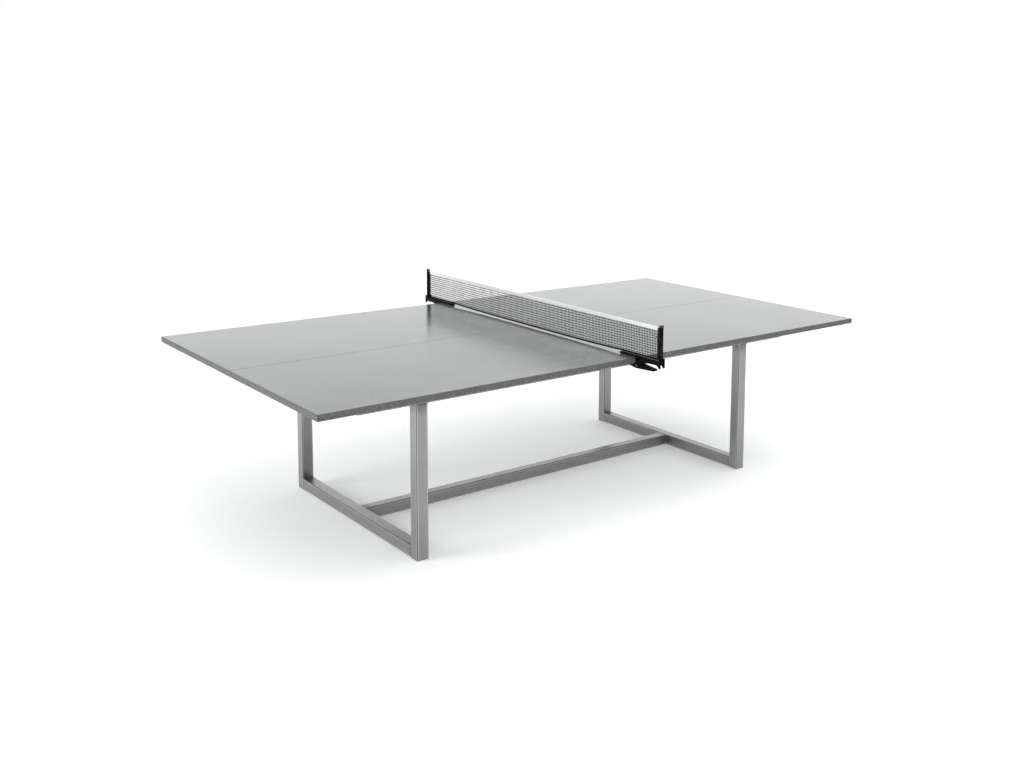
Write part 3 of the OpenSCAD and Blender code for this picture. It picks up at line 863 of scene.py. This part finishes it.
@dataclass
class Studio:
    """The camera, the floor and the lights.

    Attributes:
        place: The camera's place.
        azimuth: Where it stands round the table, in degrees.
        elevation: How far it looks down, in degrees.
        roll: How far it is turned round its own line of sight, in degrees.
        lens: Focal length on a 36 mm sensor, in millimetres.
        shift: Sideways and upward shift of the lens.
        floor_half: Half the floor's width.
        floor_glow: The distances from the middle between which the floor's glow rises, and its two strengths.
        bright_side: Direction of the brightest part of the surroundings.
        fall: The dot products with that direction between which the light rises, and its two strengths.
        height: The heights, as the sine of the elevation, between which the light falls again, and the two
            factors that they put on it.
        aim: The point that the panels face.
        panels: Each panel's name, its place, its width and height, and its power in watts.
    """

    place: tuple[float, float, float] = (-2.8965, -4.1434, 1.7462)
    azimuth: float = -41.65
    elevation: float = 7.11
    roll: float = 1.01
    lens: float = 39.33
    shift: tuple[float, float] = (-0.1445, -0.1406)
    floor_half: float = 40.0
    floor_glow: tuple[float, float, float, float] = (3.2, 6.5, 0.29, 0.60)
    bright_side: tuple[float, float, float] = (0.6, 0.7, 0.3)
    fall: tuple[float, float, float, float] = (-0.6, 0.95, 0.32, 1.32)
    height: tuple[float, float, float, float] = (0.15, 0.40, 1.16, 0.76)
    aim: tuple[float, float, float] = (0.0, 0.0, 0.6)
    panels: tuple[tuple[str, tuple[float, float, float], tuple[float, float], float], ...] = (
        ("overhead_panel", (0.6, -2.6, 4.3), (7.0, 4.8), 158),
        ("right_panel", (6.0, -0.6, 1.9), (3.5, 2.6), 75),
        ("left_panel", (-6.0, 1.0, 2.0), (3.0, 2.4), 205),
    )

    def camera(self) -> None:
        """Makes the scene's camera.

        It looks against the vector back, which the azimuth and elevation give, and is then turned by the
        roll.
        """
        a, e, r = (math.radians(v) for v in (self.azimuth, self.elevation, self.roll))
        back = Vector((math.sin(a) * math.cos(e), -math.cos(a) * math.cos(e), math.sin(e)))
        right = Vector((math.cos(a), math.sin(a), 0))
        up = back.cross(right)
        turned = right * math.cos(r) + up * math.sin(r)
        data = bpy.data.cameras.new("camera")
        data.sensor_width = 36
        data.lens = self.lens
        data.shift_x, data.shift_y = self.shift
        data.clip_end = 200
        made = placed("camera", data)
        axes = Matrix((turned, back.cross(turned), back)).transposed().to_4x4()
        made.matrix_world = Matrix.Translation(self.place) @ axes
        bpy.context.scene.camera = made

    def floor(self) -> None:
        """Makes the plain pale floor, a flat grid at height zero that glows more away from the table."""
        line = np.array([-1, 0, 1]) * self.floor_half
        x, y = np.meshgrid(line, line)
        made = Shell.grid(np.stack([x, y, np.zeros_like(x)], axis=-1)).piece("floor")
        material = bpy.data.materials.new("pale_floor")
        made.data.materials.append(material)
        w = Wiring(material)
        squares = [w.maths("POWER", w.part(axis), 2.0) for axis in (Axis.X, Axis.Y)]
        away = w.maths("SQRT", w.maths("ADD", *squares))
        w.set(
            base_color=w.blend(w.noise(0.8, 2), (0.80, 0.81, 0.812), (0.815, 0.823, 0.825)),
            roughness=0.85,
            emission_color=(1.0, 1.0, 1.0),
            emission_strength=w.between(away, *self.floor_glow),
        )

    def surroundings(self) -> None:
        """Makes the light that comes from all around.

        The camera sees plain white there. The light's strength is a smooth step of the dot product of its
        direction with the bright side, times a smooth step of its height.
        """
        world = bpy.data.worlds.new("studio")
        bpy.context.scene.world = world
        w = Wiring(world, "Generated")
        towards = w.node("ShaderNodeVectorMath", operation="DOT_PRODUCT")
        w.feed(towards.inputs[0], w.place)
        w.feed(towards.inputs[1], self.bright_side)
        side = w.between(towards.outputs["Value"], *self.fall)
        lit = w.node("ShaderNodeBackground")
        w.feed(lit.inputs["Color"], (0.985, 0.995, 1.0))
        w.feed(lit.inputs["Strength"], w.maths("MULTIPLY", side, w.between(w.part(Axis.Z), *self.height)))
        plain = w.nodes["Background"]
        w.feed(plain.inputs["Color"], (1.0, 1.0, 1.0))
        seen = w.node("ShaderNodeMixShader")
        w.feed(seen.inputs["Fac"], w.node("ShaderNodeLightPath").outputs["Is Camera Ray"])
        w.feed(seen.inputs[1], lit.outputs[0])
        w.feed(seen.inputs[2], plain.outputs[0])
        w.feed(w.nodes["World Output"].inputs["Surface"], seen.outputs[0])

    def lights(self) -> None:
        """Makes the soft light panels."""
        for name, place, size, watts in self.panels:
            data = bpy.data.lights.new(name, "AREA")
            data.shape = "RECTANGLE"
            data.size, data.size_y = size
            data.energy = watts
            made = placed(name, data)
            made.location = place
            made.rotation_euler = (Vector(self.aim) - Vector(place)).to_track_quat("-Z", "Y").to_euler()

    def build(self) -> None:
        """Makes the floor and all the light."""
        self.floor()
        self.surroundings()
        self.lights()
        bpy.context.scene.view_settings.view_transform = "Standard"


# ---- sub-assemblies ----


class Slab:
    """The concrete slab with its centre line and the inserts in its underside."""

    def build(self) -> None:
        """Dresses the slab's nodes."""
        dress(PolishedConcrete().make(), "concrete_slab")
        dress(GroutLine().make(), "centre_line")
        brass = PlatedMetal(
            "turned_brass", bright=(0.72, 0.52, 0.22), dull=(0.36, 0.24, 0.11), gloss=0.24, dulling=0.21,
            grain=300, tarnish=(0.4, 0.65), turning=(1800, 0.00002))
        dress(brass.make(), "slab_inserts")


@dataclass
class WeldRun:
    """A straight weld bead.

    Attributes:
        start: One end of the bead.
        end: The other end.
        radius: Radius of the bead.
        ripple: Distance between ripples.
        swell: How much a ripple swells the bead, as a share of its radius.
        wander: How far the bead strays to each side of its line.
        wave: Distance between its turns to one side.
    """

    start: tuple[float, float, float]
    end: tuple[float, float, float]
    radius: float = 0.0026
    ripple: float = 0.0024
    swell: float = 0.11
    wander: float = 0.0003
    wave: float = 0.017

    def shell(self) -> Shell:
        """The bead's surface.

        Its radius at a distance s along it is the plain radius, times one plus the swell times the absolute
        sine of half a turn per ripple, times the square root of one minus the 24th power of the place between
        the middle and an end, which closes both ends.
        """
        a, b = np.array(self.start), np.array(self.end)
        length = np.linalg.norm(b - a)
        along = (b - a) / length
        count = int(length / self.ripple) * 3 + 2
        t = np.linspace(0, 1, count)
        s = t * length
        ends = np.clip(1 - (2 * t - 1) ** 24, 0.02, 1) ** 0.5
        radius = self.radius * (1 + self.swell * np.abs(np.sin(np.pi * s / self.ripple))) * ends
        stray = self.wander * np.sin(s * 2 * np.pi / self.wave)
        side = np.cross(along, [1, 1, 1])
        side /= np.linalg.norm(side)
        other = np.cross(along, side)
        ring = circle(1.0, 8)
        round_it = ring[:, :1] * side + ring[:, 1:] * other
        path = a + s[:, None] * along + stray[:, None] * side
        return Shell.tube(path[:, None, :] + radius[:, None, None] * round_it[None]).outward()


@dataclass
class SteelFrame:
    """The welded frame: side beams, cross members, legs, floor rails and the stretcher.

    Attributes:
        tube: Side of the square tube.
        leg_x: Middle of the legs along the table.
        leg_y: Middle of the legs across it.
        beam_z: Underside of the side beams.
        top_z: Top of the steel.
        rail_z: Underside of the floor rails.
        lugs_x: Middles of the lugs along the table, on one half.
        lug_l: Length of a lug.
        lug_t: Thickness of a lug.
        thin_bead: Radius of the beads that show from above.
        lug_bead: Radius of the beads along the lugs.
        clear: How far an upright bead stops short of a face that another piece lies on.
        lug_clear: How far a lug's bead stops short of its ends.
    """

    tube: float
    leg_x: float
    leg_y: float
    beam_z: float
    top_z: float
    rail_z: float
    lugs_x: tuple[float, ...]
    lug_l: float
    lug_t: float
    thin_bead: float = 0.0016
    lug_bead: float = 0.0022
    clear: float = 0.002
    lug_clear: float = 0.003

    @classmethod
    def from_frame(cls) -> "SteelFrame":
        """Reads the frame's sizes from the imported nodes.

        The lugs' ends along the beam are the places of their corners on the beam's face, in pairs.
        """
        leg_low, leg_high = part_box("right_rear_leg")
        rail_low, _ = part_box("right_floor_rail")
        lug_low, lug_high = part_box("fixing_lugs")
        corners = np.array([v.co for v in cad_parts["fixing_lugs"].data.vertices])
        on_beam = np.isclose(corners[:, 1], lug_high.y, atol=1e-5) & (corners[:, 0] > 0)
        ends = np.unique(corners[on_beam, 0].round(5)).reshape(-1, 2)
        return cls(
            tube=leg_high.x - leg_low.x,
            leg_x=(leg_low.x + leg_high.x) / 2,
            leg_y=(leg_low.y + leg_high.y) / 2,
            beam_z=leg_high.z,
            top_z=lug_high.z,
            rail_z=rail_low.z,
            lugs_x=tuple(ends.mean(axis=1)),
            lug_l=float(ends[0, 1] - ends[0, 0]),
            lug_t=lug_high.z - lug_low.z,
        )

    def dress_tubes(self) -> None:
        """Gives each group of tubes brushed steel with its grain and heat marks in the right places."""
        half, inner = self.tube / 2, self.leg_y - self.tube / 2
        beam_half = (self.top_z - self.beam_z) / 2
        rail_mid, cross_mid = self.rail_z + half, self.top_z - half
        groups = {
            ("left_front_leg", "left_rear_leg", "right_front_leg", "right_rear_leg"): BrushedTube(
                "brushed_leg", Axis.Z, (self.leg_x, self.leg_y), (half, half), (self.beam_z,), burnt=0.6),
            ("left_floor_rail", "right_floor_rail"): BrushedTube(
                "brushed_rail", Axis.Y, (self.leg_x, rail_mid), (half, half), (inner,), burnt=0.2),
            ("floor_stretcher",): BrushedTube(
                "brushed_stretcher", Axis.X, (0.0, rail_mid), (half, half), (self.leg_x - half,)),
            # The side beams' steel is darkened to 0.085, which paints the shade that the slab casts on them.
            ("front_side_beam", "rear_side_beam"): BrushedTube(
                "dull_beam", Axis.X, (self.leg_y, self.beam_z + beam_half), (half, beam_half),
                (0.0, self.leg_x), (0.085, 0.085, 0.083)),
            ("left_cross_member", "right_cross_member"): BrushedTube(
                "brushed_end_member", Axis.Y, (self.leg_x, cross_mid), (half, half), (inner,)),
            ("middle_cross_member",): BrushedTube(
                "brushed_middle_member", Axis.Y, (0.0, cross_mid), (half, half), (inner,)),
        }
        for nodes, finish in groups.items():
            dress(finish.make(), *nodes)

    def joint_runs(self, x: float, y: float, low: float, high: float) -> list[WeldRun]:
        """Three beads round the end of a tube that meets a face at right angles to Y.

        Args:
            x: Middle of the tube along the table.
            y: The face.
            low: Lower edge of the tube, along which the level bead runs.
            high: Upper end of the two upright beads.
        """
        half = self.tube / 2
        runs = [WeldRun((x + s * half, y, low), (x + s * half, y, high)) for s in (-1, 1)]
        return runs + [WeldRun((x - half, y, low), (x + half, y, low))]

    def stretcher_runs(self) -> list[WeldRun]:
        """Beads where the stretcher meets the floor rails: two upright and one over the top at each end."""
        half, top = self.tube / 2, self.rail_z + self.tube
        runs = []
        for end in (-1, 1):
            x = end * (self.leg_x - half)
            runs += [WeldRun((x, s * half, self.rail_z + self.clear), (x, s * half, top)) for s in (-1, 1)]
            runs.append(WeldRun((x, -half, top), (x, half, top), radius=self.thin_bead))
        return runs

    def cross_member_runs(self) -> list[WeldRun]:
        """Beads where the cross members meet the side beams."""
        inner = self.leg_y - self.tube / 2
        low, high = self.top_z - self.tube, self.top_z - self.clear
        runs = []
        for x in (-self.leg_x, 0.0, self.leg_x):
            for side in (-1, 1):
                runs += self.joint_runs(x, side * inner, low, high)
        return runs

    def leg_runs(self) -> list[WeldRun]:
        """Beads round the inner faces of the leg tops, under the side beams."""
        half = self.tube / 2
        runs = []
        for sx in (-1, 1):
            for sy in (-1, 1):
                x, y = sx * self.leg_x, sy * self.leg_y
                inner, z = y - sy * half, self.beam_z
                runs += [WeldRun((x + s * half, y - half, z), (x + s * half, y + half, z)) for s in (-1, 1)]
                runs.append(WeldRun((x - half, inner, z), (x + half, inner, z)))
        return runs

    def lug_runs(self) -> list[WeldRun]:
        """Beads along the underside of each lug, against its beam."""
        inner, z = self.leg_y - self.tube / 2, self.top_z - self.lug_t
        reach = self.lug_l / 2 - self.lug_clear
        return [
            WeldRun((sx * x - reach, sy * inner, z), (sx * x + reach, sy * inner, z), radius=self.lug_bead)
            for sx in (-1, 1) for sy in (-1, 1) for x in self.lugs_x
        ]

    def build(self) -> None:
        """Dresses the frame's nodes and adds its welds."""
        self.dress_tubes()
        dress(MillPlate().make(), "beam_end_caps", "fixing_lugs", "foot_plates")
        dress(MouldedPart("bearing_rubber").make(), "bearing_pads", "foot_pads")
        dress(PlatedMetal("zinc_plate").make(), "fixing_washers", "fixing_bolts")
        metal = WeldMetal().make()
        for name, runs in (
            ("stretcher_welds", self.stretcher_runs()),
            ("cross_member_welds", self.cross_member_runs()),
            ("leg_top_welds", self.leg_runs()),
            ("lug_welds", self.lug_runs()),
        ):
            piece = Shell.together([run.shell() for run in runs]).piece(name)
            settle(piece, metal, "table")


@dataclass
class Net:
    """The net: threads, the white tape along its top, the black tape along its bottom and their stitches.

    Attributes:
        pitch: Distance between threads.
        thread: Diameter of a thread.
        sides: Faces round a thread.
        sway: How far a thread swings to each side where it crosses another.
        sag: How far the net's lower edge hangs at the middle.
        sunk: How far the upright threads run on into the tapes.
        tape: Thickness of the tape's cloth.
        lips: How far round the cord the top tape's arc stays open at each side, as an angle.
        sways: Each sideways wave of a tape, as its size and its length.
        stitch: Distance between stitches.
        stitch_half: Half a stitch's size along X, Y and Z.
        top_row: Height of the stitches above the top tape's lower edge.
        bottom_row: Height of the stitches above the bottom tape's lower edge.
        top_flat: Width of the top tape before it was folded. Not used.
    """

    pitch: float = 0.010
    thread: float = 0.0023
    sides: int = 6
    sway: float = 0.0004
    sag: float = 0.0058
    sunk: float = 0.002
    tape: float = 0.0006
    lips: float = 0.45
    sways: tuple[tuple[float, float], ...] = ((0.00018, 0.31), (0.0001, 0.083))
    stitch: float = 0.004
    stitch_half: tuple[float, float, float] = (0.00022, 0.00135, 0.00022)
    top_row: float = 0.0028
    bottom_row: float = 0.0050
    top_flat: float = 0.0315

    def hang(self, points: Array) -> Array:
        """Lets points of the net sag.

        A point drops by the sag, times its depth below the net's top as a share of the net's height, times
        one minus the fourth power of its place between the middle and the tip of a clamp's arm. Over the arms
        it doesn't drop.
        """
        low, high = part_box("net_bottom_tape")[0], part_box("net_top_tape")[1]
        depth = np.clip((high.z - points[..., 2]) / (high.z - low.z), 0, 1)
        arm_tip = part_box("far_clamp_body")[0].y
        drop = self.sag * depth * (1 - np.clip(np.abs(points[..., 1]) / arm_tip, 0, 1) ** 4)
        lowered = points.copy()
        lowered[..., 2] -= drop
        return lowered

    def threads(self) -> bpy.types.Object:
        """Weaves the net's threads.

        Upright thread j and level thread i cross at a point of a grid. The upright one swings to one side
        there and the level one to the other, by the sign of minus one to the power i + j.
        """
        low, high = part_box("net_mesh")
        columns = int(round((high.y - low.y) / self.pitch)) + 1
        rows = int(round((high.z - low.z) / self.pitch))
        y = np.linspace(low.y + self.thread, high.y - self.thread, columns)
        gap = (high.z - low.z) / rows
        levels = low.z + gap * (np.arange(rows) + 0.5)
        z = np.concatenate([[low.z - self.sunk], levels, [high.z + self.sunk]])
        i, j = np.meshgrid(np.arange(len(z)), np.arange(columns), indexing="ij")
        swing = self.sway * (-1.0) ** (i + j)
        swing[0] = swing[-1] = 0
        ring = circle(self.thread / 2, self.sides)
        upright = np.zeros((columns, len(z), self.sides, 3))
        upright[..., 0] = swing.T[:, :, None] + ring[:, 0]
        upright[..., 1] = y[:, None, None] + ring[:, 1]
        upright[..., 2] = z[None, :, None]
        level = np.zeros((rows, columns, self.sides, 3))
        level[..., 0] = -swing[1:-1, :, None] + ring[:, 0]
        level[..., 1] = y[None, :, None]
        level[..., 2] = levels[:, None, None] + ring[:, 1]
        parts = []
        for strands in (upright, level):
            count, points = strands.shape[:2]
            first = Shell.tube(strands[0], capped=False)
            faces = np.arange(count)[:, None, None] * points * self.sides + first.faces[None]
            parts.append(Shell(strands.reshape(-1, 3), faces.reshape(-1, 4)).outward())
        woven = Shell.together(parts)
        woven.points = self.hang(woven.points)
        piece = woven.piece("net_threads")
        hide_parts("net_mesh")
        return piece

    def fold(self, node: str, name: str, cord: float, flip: bool) -> bpy.types.Object:
        """Folds a tape over the net's edge.

        Its section is two straight sides joined by an arc round the cord. Along the net it sways sideways by
        a sum of sines.

        Args:
            node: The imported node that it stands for.
            name: Name of the piece.
            cord: Radius of the arc.
            flip: Whether the arc is at the bottom and not the top.
        """
        low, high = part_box(node)
        straight = self.thread / 2 + self.sway + self.tape / 2
        arc_z = high.z - low.z - cord - self.tape / 2
        lip, places = (self.lips, 15) if cord > straight else (0, 9)
        turn = np.linspace(np.pi - lip, lip, places)
        rise = np.linspace(0, arc_z - 1.2 * cord, 7)
        side = np.full(len(rise), straight)
        x = np.concatenate([-side, cord * np.cos(turn), side])
        z = np.concatenate([rise, arc_z + cord * np.sin(turn), rise[::-1]])
        y = np.linspace(low.y, high.y, 240)[:, None]
        sway = sum(size * np.sin(y * 2 * np.pi / length) for size, length in self.sways)
        up = high.z - z if flip else low.z + z
        middle = np.stack(np.broadcast_arrays(x[None] + sway, y, up[None]), axis=-1)
        piece = Shell.cloth(self.hang(middle), self.tape).outward().piece(name)
        log.info("%s: flat width %.1f mm", name, np.hypot(np.diff(x), np.diff(z)).sum() / MM)
        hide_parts(node)
        return piece

    def stitches(self, name: str, height: float, off: float) -> bpy.types.Object:
        """A row of stitches along both sides of a tape.

        Args:
            name: Name of the piece.
            height: The row's height.
            off: The stitches' distance from the net's middle.
        """
        low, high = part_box("net_top_tape")
        one = lozenge(self.stitch_half, 4, 5, Axis.Y)
        y = np.arange(low.y + self.stitch, high.y - self.stitch / 2, self.stitch)
        side, along = np.meshgrid([-off, off], y, indexing="ij")
        places = self.hang(np.stack([side, along, np.full(side.shape, height)], axis=-1)).reshape(-1, 3)
        return one.repeated(places).piece(name)

    def build(self) -> None:
        """Makes the net and dresses its cord."""
        black = TwistedYarn("black_yarn", (0.002, 0.002, 0.0022), (0.006, 0.006, 0.0064)).make()
        white = TwistedYarn("white_yarn", (0.45, 0.45, 0.43), (0.74, 0.74, 0.71)).make()
        pale = TwistedYarn("pale_cord", (0.42, 0.42, 0.40), (0.74, 0.74, 0.71), 500).make()
        white_cloth = WovenCloth(
            "white_webbing", (0.86, 0.865, 0.87), (0.68, 0.685, 0.69), (0.70, 0.70, 0.68), sheen=0.2)
        black_cloth = WovenCloth(
            "black_webbing", (0.006, 0.006, 0.006), (0.002, 0.002, 0.002), (0.015, 0.015, 0.015))
        threads = settle(self.threads(), black, "table")
        low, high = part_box("net_top_tape")
        off = self.thread / 2 + self.sway + self.tape
        cord = (high.x - low.x) / 2 - self.tape / 2
        tape = self.fold("net_top_tape", "top_webbing", cord, flip=False)
        settle(tape, white_cloth.make(), "table")
        row = self.stitches("top_webbing_stitches", low.z + self.top_row, off)
        settle(row, white, "table")
        low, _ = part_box("net_bottom_tape")
        cord = self.thread / 2 + self.sway + self.tape / 2
        hem = self.fold("net_bottom_tape", "bottom_webbing", cord, flip=True)
        settle(hem, black_cloth.make(), "table")
        row = self.stitches("bottom_webbing_stitches", low.z + self.bottom_row, off)
        settle(row, black, "table")
        low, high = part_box("net_mesh")
        dress(pale, "net_cord")


@dataclass
class TieString:
    """The loose string at the near post: a bow outside the post, a hitch on it and a short tail.

    Attributes:
        diameter: Diameter of the string.
        length: Its length. Not used.
        route: Points of its route, in millimetres: along the table, out from the slab's edge and up from the
            playing surface.
        knot_half: Half the knot's size along X, Y and Z.
        knot_off: How far the knot's middle lies from the string's start along X.
    """

    diameter: float = 0.0020
    length: float = 0.116
    route: tuple[tuple[float, float, float], ...] = (
        (-9.2, 124, 104), (-9.6, 130, 106), (-9.8, 137, 106), (-9.8, 144, 103), (-9.6, 150, 98),
        (-9.2, 155, 91), (-8.8, 158, 83), (-8.4, 158, 75), (-8.2, 155, 67), (-8.4, 151, 60),
        (-8.8, 147, 54), (-9.2, 145, 48), (-9.4, 147, 43), (-9.4, 152, 40), (-9.2, 158, 38),
        (-9.0, 164, 36), (-8.8, 170, 33),
    )
    knot_half: tuple[float, float, float] = (0.0030, 0.0021, 0.0021)
    knot_off: float = 0.0024

    def points(self) -> Array:
        """The route in the table's frame, in metres."""
        low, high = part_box("concrete_slab")
        along, out, up = np.array(self.route).T * MM
        return np.stack([along, low.y - out, high.z + up], axis=1)

    def build(self) -> None:
        """Lays the string along its route as one smooth curve and ties a knot at its start."""
        points = self.points()
        data = bpy.data.curves.new("tie_string", "CURVE")
        data.dimensions = "3D"
        data.bevel_depth = self.diameter / 2
        data.bevel_resolution = 3
        data.resolution_u = 6
        data.use_fill_caps = True
        line = data.splines.new("BEZIER")
        line.bezier_points.add(len(points) - 1)
        line.bezier_points.foreach_set("co", points.ravel())
        for point in line.bezier_points:
            point.handle_left_type = point.handle_right_type = "AUTO"
        string = placed("tie_string", data)
        yarn = TwistedYarn("string_yarn", (0.010, 0.010, 0.011), (0.045, 0.045, 0.047), 700).make()
        settle(string, yarn, "table")
        knot = lozenge(self.knot_half, 9, 12, Axis.X)
        knot.points = knot.points + points[0] + np.array([self.knot_off, 0.0, 0.0])
        piece = settle(knot.piece("tie_string_knot"), yarn, "table")
        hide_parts("near_tie_string")


@dataclass
class NetSide:
    """One side of the net set: the sleeve and rod, the post and the spring clamp.

    Attributes:
        side: Which side it is.
        cloth: Thickness of the sleeve's cloth.
        flat: Half the sleeve's thickness away from the rod.
        swell: How much the rod adds to that.
        swell_y: Distance from the rod at which the swell has fallen to 1/e.
        wrinkle: Depth of a wrinkle.
        wrinkle_z: Distance between wrinkles.
        seam_y: Distance of the stitches from the sleeve's inner edge.
        seam_x: Distance of the stitches from the sleeve's middle.
        stitch: Distance between stitches.
        stitch_half: Half a stitch's size along X, Y and Z.
    """

    side: Side
    cloth: float = 0.0007
    flat: float = 0.0013
    swell: float = 0.0023
    swell_y: float = 0.0034
    wrinkle: float = 0.00025
    wrinkle_z: float = 0.021
    seam_y: float = 0.0026
    seam_x: float = 0.00205
    stitch: float = 0.004
    stitch_half: tuple[float, float, float] = (0.0002, 0.0002, 0.0013)

    def name(self, rest: str) -> str:
        """The name of one of this side's nodes or pieces."""
        return f"{self.side.word}_{rest}"

    def sleeve(self) -> bpy.types.Object:
        """Sews the sleeve round the rod.

        Its section is a flat oval that swells round the rod: its half thickness is a base plus a bell curve
        of the distance from the rod. Going up, the cloth wrinkles by a sine that leans round the section.
        """
        low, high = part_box(self.name("net_sleeve"))
        middle_y = (low.y + high.y) / 2
        half = (high.y - low.y) / 2 - self.cloth / 2
        places = 44
        turn = np.arange(places)[None, :] * 2 * np.pi / places
        z = np.linspace(low.z, high.z, 34)[:, None]
        thick = self.flat + self.swell * np.exp(-((np.cos(turn) * half / self.swell_y) ** 2))
        wrinkle = self.wrinkle * np.sin(z * 2 * np.pi / self.wrinkle_z + 2 * turn)
        fade = np.abs(np.sin(turn))
        x = np.sign(np.sin(turn)) * fade ** 0.6 * (thick + wrinkle * fade)
        y = middle_y + half * np.cos(turn) * np.ones_like(z)
        middle = np.stack(np.broadcast_arrays(x, y, z), axis=-1)
        piece = Shell.cloth(middle, self.cloth, closed=True).outward().piece(self.name("sleeve_cloth"))
        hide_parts(self.name("net_sleeve"))
        self.name("net_rod")
        return piece

    def seam(self) -> bpy.types.Object:
        """Two upright rows of stitches on the sleeve, beside the net."""
        low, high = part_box(self.name("net_sleeve"))
        inner = low.y if self.side is Side.FAR else high.y
        y = inner + self.side.value * self.seam_y
        one = lozenge(self.stitch_half, 4, 5, Axis.Z)
        z = np.arange(low.z + 0.75 * self.stitch, high.z - self.stitch / 2, self.stitch)
        side, up = np.meshgrid([-self.seam_x, self.seam_x], z, indexing="ij")
        places = np.stack([side, np.full(side.shape, y), up], axis=-1).reshape(-1, 3)
        return one.repeated(places).piece(self.name("sleeve_stitches"))

    def build(self) -> None:
        """Makes the side's cloth and rounded parts and dresses its other nodes."""
        lever = self.name("lever")
        blacks = [(v, v, v) for v in (0.0030, 0.0015, 0.0070)]
        weave = WovenCloth(self.name("sleeve_weave"), *blacks, pitch=0.0006)
        yarn = TwistedYarn(self.name("seam_yarn"), (0.010, 0.010, 0.010), (0.050, 0.050, 0.052))
        settle(self.sleeve(), weave.make(), "table")
        settle(self.seam(), yarn.make(), "table")
        coat = BlackCoat(self.name("powder_coat")).make()
        paint = BlackCoat(self.name("satin_paint"), 900, 0.00002, 0.30).make()
        moulded = MouldedPart(
            self.name("moulded_plastic"), (0.014, 0.014, 0.015), (0.04, 0.04, 0.04), 0.45).make()
        for name, node, radius, finish, body, slot in (
            ("clamp_pressing", "clamp_body", 0.0005, coat, "table", "clamp_paint"),
            ("lever_casting", "lever", 0.0008, coat, lever, "clamp_paint"),
            ("post_bar", "post", 0.0006, paint, "table", "post_paint"),
            ("moulded_cap", "post_cap", 0.0007, moulded, "table", "cap_plastic"),
        ):
            settle(softened(self.name(name), self.name(node), radius), finish, body)
        rubber = MouldedPart(self.name("pad_rubber")).make()
        oxide = PlatedMetal(self.name("dark_oxide"), (0.16, 0.16, 0.165), (0.06, 0.06, 0.06), 0.22).make()
        wire = PlatedMetal(self.name("spring_wire"), (0.55, 0.55, 0.56), (0.34, 0.33, 0.32), 0.24).make()
        for finish, nodes in (
            (moulded, ["net_rod"]),
            (rubber, ["arm_pad", "jaw_pad"]),
            (oxide, ["post_screw", "post_nut", "pivot_rivet"]),
            (wire, ["spring", "spring_arm"]),
        ):
            dress(finish, *(self.name(node) for node in nodes))


def main() -> None:
    """Makes the camera and the string first, then the studio and the table's sub-assemblies."""
    logging.basicConfig(level=logging.INFO, format="%(name)s: %(message)s")
    studio = Studio()
    studio.camera()
    TieString().build()
    studio.build()
    Slab().build()
    SteelFrame.from_frame().build()
    Net().build()
    for side in Side:
        NetSide(side).build()


if __name__ == "__main__":
    main()
